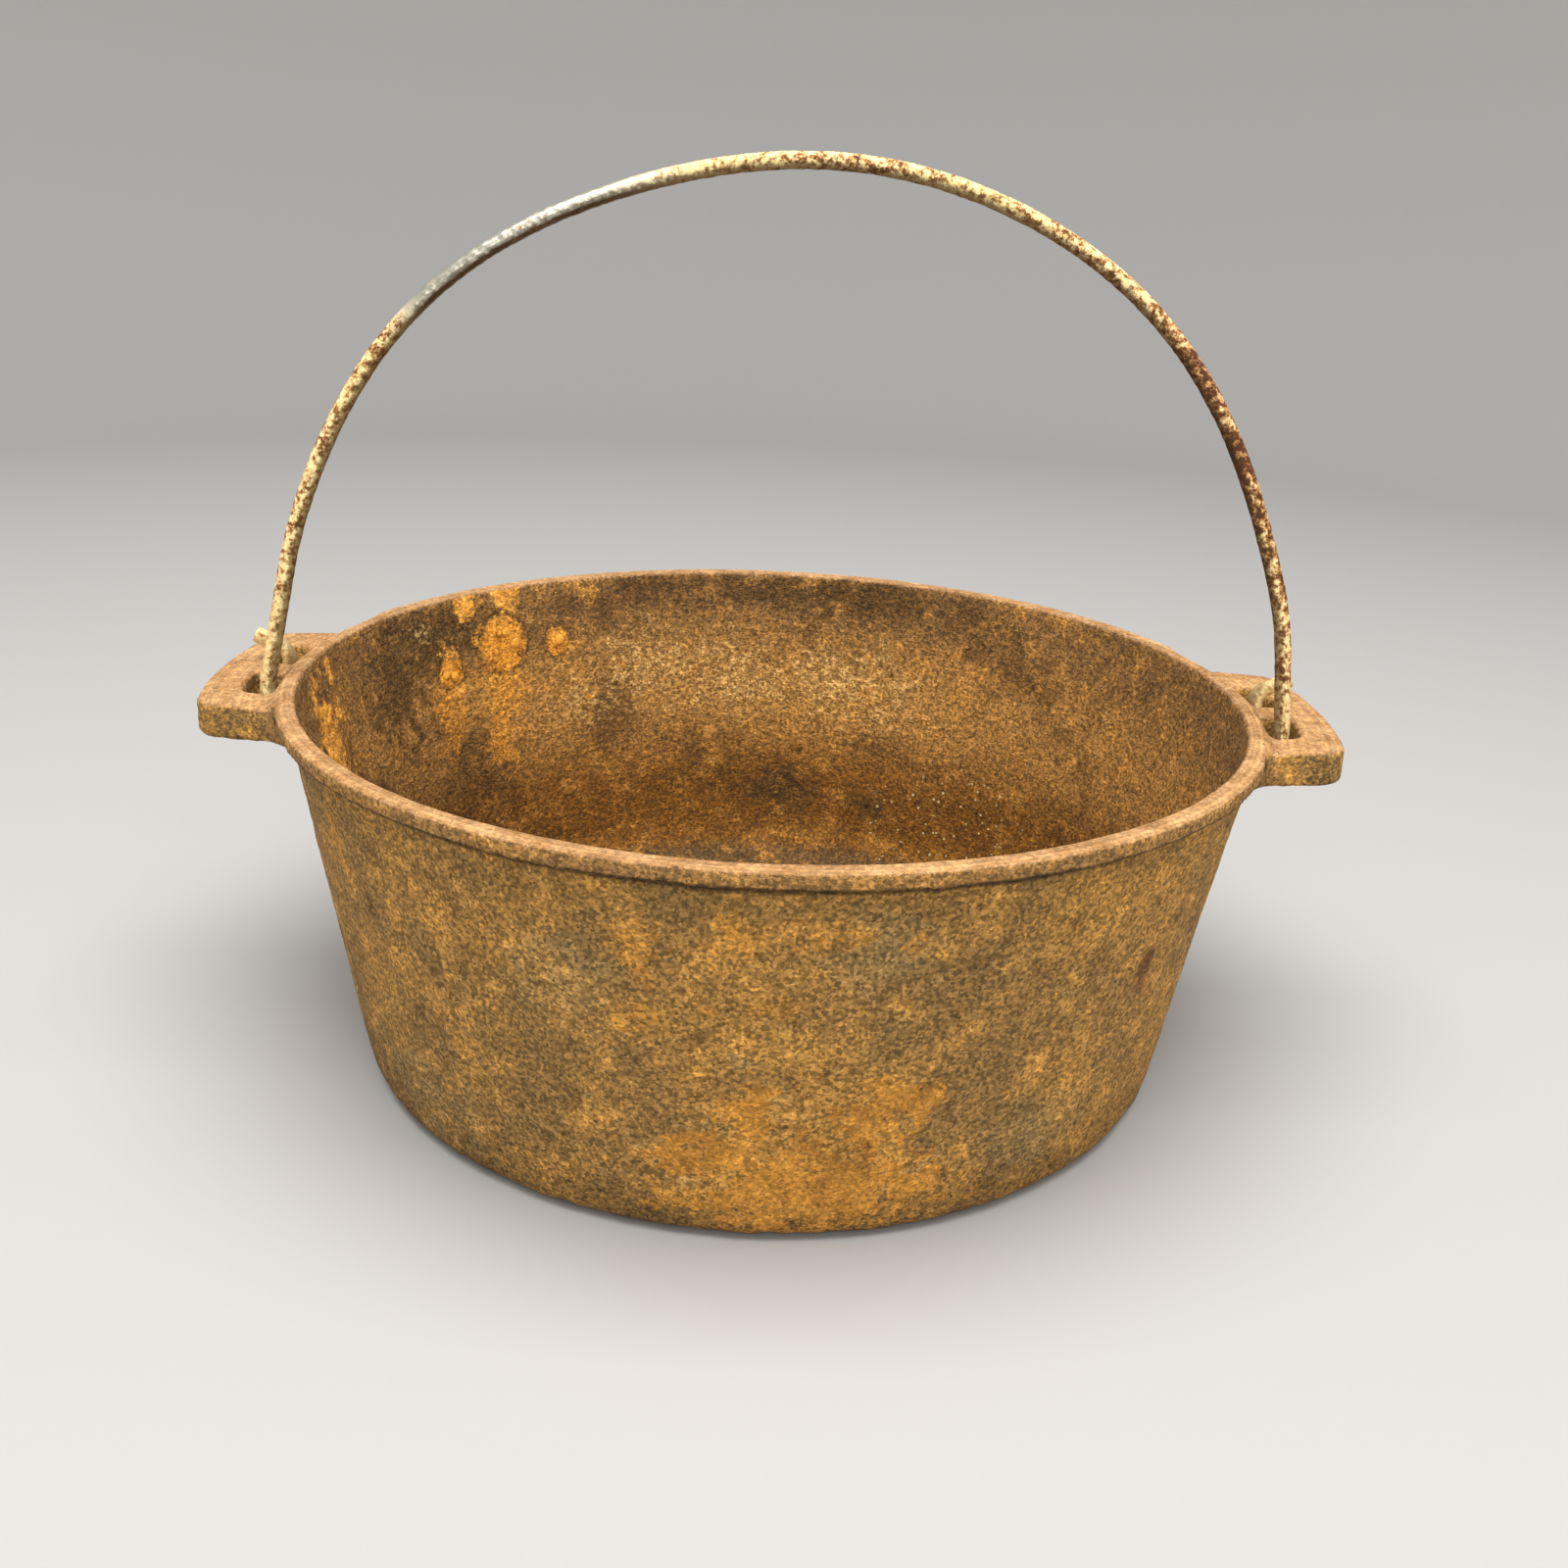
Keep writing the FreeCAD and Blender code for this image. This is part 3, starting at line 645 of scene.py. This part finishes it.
def rusted_steel_wire():
    """Drawn mild steel wire, once bright: cream scale over it, rust in blotches, bare metal on one side.

    The eye sees a pale outer side broken by 1 to 2 mm spots of brown, a dark inner side, bare grey
    metal from the left shoulder to near the crown, and solid red-brown rust on the right shoulder.
    """
    material, tree = new_material("rusted drawn steel wire")
    place = add(tree, "ShaderNodeTexCoord", out="Object")
    facing = add(tree, "ShaderNodeTexCoord", out="Normal")
    run = add(tree, "ShaderNodeAttribute", out="Fac", attribute_name="run")

    # how far rust has taken each stretch, from the left hook to the right one
    taken = add(tree, "ShaderNodeValToRGB", {"Fac": run})
    ramp = taken.node.color_ramp
    stretches = [
        (0.00, 0.12), (0.12, 0.18), (0.18, 0.50), (0.28, 0.55), (0.31, 0.02), (0.44, 0.06), (0.48, 0.35),
        (0.52, 0.65), (0.57, 0.30), (0.66, 0.50), (0.71, 0.95), (0.81, 0.90), (0.87, 0.35), (1.00, 0.12),
    ]
    for i, (at, rust) in enumerate(stretches):
        stop = ramp.elements[i] if i < 2 else ramp.elements.new(at)
        stop.position, stop.color = at, (rust, rust, rust, 1)
    spots = add(
        tree, "ShaderNodeTexNoise", {"Vector": place, "Scale": grain(1.7), "Detail": 4.0, "Roughness": 0.75}
    )
    blotch = add(tree, "ShaderNodeTexNoise", {"Vector": place, "Scale": grain(12), "Detail": 3.0})
    # the side of the wire turned in, towards the pot, is darker: partly dirt, partly painted shade on the
    # wire's inner and lower side
    from_middle = add(tree, "ShaderNodeVectorMath", {0: place, 1: (0, 0, 0.1)}, operation="SUBTRACT")
    outward = add(tree, "ShaderNodeVectorMath", {0: from_middle}, operation="NORMALIZE")
    crown = add(tree, "ShaderNodeVectorMath", {0: facing, 1: outward}, out="Value", operation="DOT_PRODUCT")
    inner_dirt_and_shade = fade(tree, sums(tree, "ADD", crown, fade(tree, spots, 0.3, 0.7, 0.35, -0.35)), 0.25, -0.45)

    rust = sums(tree, "ADD", taken, fade(tree, spots, 0.3, 0.7, -0.55, 0.55))
    rust = sums(tree, "ADD", rust, fade(tree, blotch, 0.3, 0.7, -0.2, 0.2))
    cover = fade(tree, rust, 0.28, 0.78)
    deep = fade(tree, rust, 0.65, 1.15)
    bare_start, bare_end = fade(tree, run, 0.285, 0.315), fade(tree, run, 0.46, 0.40)
    bare = sums(tree, "MULTIPLY", bare_start, bare_end)
    bare = sums(tree, "MULTIPLY", bare, sums(tree, "SUBTRACT", 1.0, cover))

    scale = blend(tree, fade(tree, spots, 0.35, 0.65), linear("#efd89c"), linear("#d2ab68"))
    brown = blend(tree, fade(tree, spots, 0.40, 0.62), linear("#b4763a"), linear("#87501d"))
    colour = blend(tree, sums(tree, "MULTIPLY", cover, 0.9), scale, brown)
    colour = blend(tree, deep, colour, linear("#4f2a12"))
    colour = blend(tree, bare, colour, linear("#c8c3b0"))
    cut_ends = sums(tree, "MULTIPLY", fade(tree, run, 0.0, 0.02), fade(tree, run, 1.0, 0.98))
    inner_dirt_and_shade = sums(tree, "MULTIPLY", inner_dirt_and_shade, cut_ends)
    # the inner side painted darker, both dirt and painted shade
    colour = blend(tree, sums(tree, "MULTIPLY", inner_dirt_and_shade, 0.7), colour, linear("#4a3318"))
    roughness = add(tree, "ShaderNodeMix", {"Factor": bare, "A": 0.78, "B": 0.28}, data_type="FLOAT")
    bump = add(tree, "ShaderNodeBump", {"Strength": 0.6, "Distance": 0.0002, "Height": spots})
    finish_material(tree, colour, roughness, sums(tree, "MULTIPLY", bare, 0.9), bump)
    return material


# ---------------------------------------------------------------------------------------------------
# The pieces


def welded_copy(node):
    """A copy of a CAD node's mesh with its loose triangles joined, in the same place."""
    source = bpy.data.objects[node]
    mesh = source.data.copy()
    mesh.transform(source.matrix_world)
    work = bmesh.new()
    work.from_mesh(mesh)
    bmesh.ops.remove_doubles(work, verts=work.verts, dist=0.000001)
    work.to_mesh(mesh)
    work.free()
    copy = bpy.data.objects.new(node + "_work", mesh)
    bpy.context.scene.collection.objects.link(copy)
    return copy


def make_pot(material):
    """The casting: an even net is laid over it, roughened, then thinned to at most 196000 triangles."""
    fineness = 0.5
    softening = 40
    most_triangles = 196000
    work = welded_copy("pot_casting")
    net = work.modifiers.new("Even Net", "REMESH")
    net.mode = "VOXEL"
    net.voxel_size = fineness / 1000
    net.use_smooth_shade = True
    ease = work.modifiers.new("Ease", "SMOOTH")
    ease.factor, ease.iterations = 0.5, 2
    run_tree(work, cast_skin_tree(), Material=material, **{"Ear Softening": softening})
    fine = settle(work, "pot_fine")
    triangles = sum(len(p.vertices) - 2 for p in fine.data.polygons)
    thin = fine.modifiers.new("Thin", "DECIMATE")
    thin.ratio = min(1.0, most_triangles / triangles)
    return settle(fine, "rusted_pot")


def rounded(points, radii):
    """Points along a line through `points` with each inner corner rounded by its radius."""
    line, step = [points[0]], 0.6
    for before, corner, after, radius in zip(points, points[1:], points[2:], radii):
        back, on = (before - corner).normalized(), (after - corner).normalized()
        half = back.angle(on) / 2
        centre = corner + (back + on).normalized() * radius / math.sin(half)
        start, end = corner + back * radius / math.tan(half), corner + on * radius / math.tan(half)
        turn = math.pi - 2 * half
        steps = max(4, round(turn * radius / step))
        out = start - centre
        axis = out.cross(end - centre).normalized()
        line += [centre + Matrix.Rotation(turn * i / steps, 3, axis) @ out for i in range(steps + 1)]
    return line


def bail_line():
    """The bail's centre-line in metres: hooked end, leg, arch, leg, hooked end."""
    lean = math.radians(BAIL_LEAN)
    left_slant, right_slant = math.radians(LEFT_SLANT), math.radians(RIGHT_SLANT)

    def lift(x, up):
        return Vector((x, -LEG_FRONT + up * math.sin(lean), EAR_TOP + up * math.cos(lean)))

    width = RIGHT_FOOT - LEFT_FOOT
    taken = ARCH_UP * (math.tan(left_slant) + math.tan(right_slant))
    radius = (width - taken) / (1 / math.cos(left_slant) + 1 / math.cos(right_slant))
    centre_x = LEFT_FOOT + (radius + ARCH_UP * math.sin(left_slant)) / math.cos(left_slant)

    # the arch was bent by hand, and strays from its circle in slow waves (half waves, millimetres)
    waves = [(2, -0.35), (3, 0.35), (4, 0.95), (5, -0.4), (7, -0.4)]
    first, last = math.pi - left_slant, right_slant
    arch = []
    steps = 400
    for i in range(steps + 1):
        share = i / steps
        angle = first + (last - first) * share
        ends_held = min(1.0, 12 * share, 12 * (1 - share))
        stray = ends_held * sum(size * math.sin(n * math.pi * share) for n, size in waves)
        reach = radius + stray
        arch.append(lift(centre_x + reach * math.cos(angle), ARCH_UP + reach * math.sin(angle)))

    deep = EAR_TOP - HOOK_DEPTH
    ends = []
    for side, foot_x, riser_x in ((-1, LEFT_FOOT, LEFT_FOOT), (1, RIGHT_FOOT, RIGHT_FOOT - RIGHT_RISER_IN)):
        tip = Vector((riser_x + side * END_OUT, RISER_BACK, EAR_TOP + END_RISE))
        turn = Vector((riser_x, RISER_BACK, EAR_TOP + END_START))
        riser_low = Vector((riser_x, RISER_BACK, deep))
        leg_low = Vector((foot_x, -LEG_FRONT - HOOK_DEPTH * math.tan(lean), deep))
        foot = lift(foot_x, 0)
        top = arch[0] if side < 0 else arch[-1]
        corners = [tip, turn, riser_low, leg_low, foot, top]
        ends.append(rounded(corners, [END_ROUND, HOOK_ROUND, HOOK_ROUND, KNEE_ROUND]))
    line = ends[0] + arch + ends[1][::-1]
    return [p / 1000 for p in line]


def make_bail(material):
    """The bail: one length of wire run along its line."""
    curve = bpy.data.curves.new("bail_line", "CURVE")
    curve.dimensions = "3D"
    spline = curve.splines.new("POLY")
    line = bail_line()
    spline.points.add(len(line) - 1)
    for point, at in zip(spline.points, line):
        point.co = (*at, 1.0)
    work = bpy.data.objects.new("bail_work", curve)
    bpy.context.scene.collection.objects.link(work)
    run_tree(work, wire_tree(), Material=material)
    return settle(work, "rusted_bail")


iron, steel = rusted_cast_iron(), rusted_steel_wire()
pot = make_pot(iron)
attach(pot, "pot")
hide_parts("pot_casting")
bail = make_bail(steel)
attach(bail, "bail")
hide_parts("bail_wire")


# ---------------------------------------------------------------------------------------------------
# The studio


def make_floor():
    """A plain pale floor that sweeps up all round."""
    under_pot, reach, sweep, top = 0.4, 1.1, 0.5, 0.9
    sides, sweep_steps, lowered = 96, 12, 0.0002
    profile = [(under_pot, 0.0), (reach, 0.0)]
    for i in range(1, sweep_steps + 1):
        climb = math.radians(90 * i / sweep_steps)
        profile.append((reach + sweep * math.sin(climb), sweep - sweep * math.cos(climb)))
    profile.append((reach + sweep, top))
    work = bmesh.new()
    turns = [2 * math.pi * k / sides for k in range(sides)]
    rings = [
        [work.verts.new((r * math.cos(a), r * math.sin(a), z - lowered)) for a in turns]
        for r, z in profile
    ]
    centre = work.verts.new((0, 0, -lowered))
    for k in range(sides):
        work.faces.new((centre, rings[0][k], rings[0][(k + 1) % sides]))
    for inner, outer in zip(rings, rings[1:]):
        for k in range(sides):
            j = (k + 1) % sides
            work.faces.new((inner[k], outer[k], outer[j], inner[j]))
    for face in work.faces:
        face.smooth = True
    mesh = bpy.data.meshes.new("studio_floor")
    work.to_mesh(mesh)
    work.free()
    floor = bpy.data.objects.new("studio_floor", mesh)
    bpy.context.scene.collection.objects.link(floor)
    material, tree = new_material("pale studio paper")
    shader = add(tree, "ShaderNodeBsdfPrincipled", {"Base Color": linear("#a9a7a4"), "Roughness": 0.9})
    tree.links.new(shader, tree.nodes.new("ShaderNodeOutputMaterial").inputs["Surface"])
    mesh.materials.append(material)


def make_lamp(name, place, aim, size, power):
    """A soft rectangular lamp at a place, aimed at a point."""
    lamp = bpy.data.lights.new(name, "AREA")
    lamp.shape = "RECTANGLE"
    lamp.size, lamp.size_y = size
    lamp.energy = power
    holder = bpy.data.objects.new(name, lamp)
    holder.location = place
    holder.rotation_euler = (Vector(aim) - Vector(place)).to_track_quat("-Z", "Y").to_euler()
    bpy.context.scene.collection.objects.link(holder)


def make_camera():
    """The camera stands in front of the pot, a little above it, looking down into the bowl."""
    stand = (0, -0.40847, 0.22409)
    pan, tilt, roll = 0.00956, 0.36090, 0.04704
    ahead = Vector((math.sin(pan) * math.cos(tilt), math.cos(pan) * math.cos(tilt), -math.sin(tilt)))
    right = Vector((math.cos(pan), -math.sin(pan), 0))
    up = right.cross(ahead)
    level, upright = math.cos(roll), math.sin(roll)
    side, top = right * level + up * upright, up * level - right * upright
    camera = bpy.data.objects.new("camera", bpy.data.cameras.new("camera"))
    camera.data.sensor_width = 36
    camera.data.lens = 36
    camera.data.clip_start = 0.01
    turned = Matrix((side, top, -ahead)).transposed().to_4x4()
    camera.matrix_world = Matrix.Translation(stand) @ turned
    bpy.context.scene.collection.objects.link(camera)
    bpy.context.scene.camera = camera


make_floor()
make_lamp("overhead_softbox", (0.0, -0.25, 1.25), (0, 0, 0.05), (1.3, 0.9), 27.5)
make_lamp("front_softbox", (0.1, -1.1, 0.7), (0, 0, 0.08), (1.0, 0.7), 5.5)
make_camera()
world = bpy.data.worlds.new("studio")
world.use_nodes = True
world.node_tree.nodes["Background"].inputs["Color"].default_value = linear("#ffffff")
world.node_tree.nodes["Background"].inputs["Strength"].default_value = 0.57
bpy.context.scene.world = world
bpy.context.scene.view_settings.view_transform = "Standard"
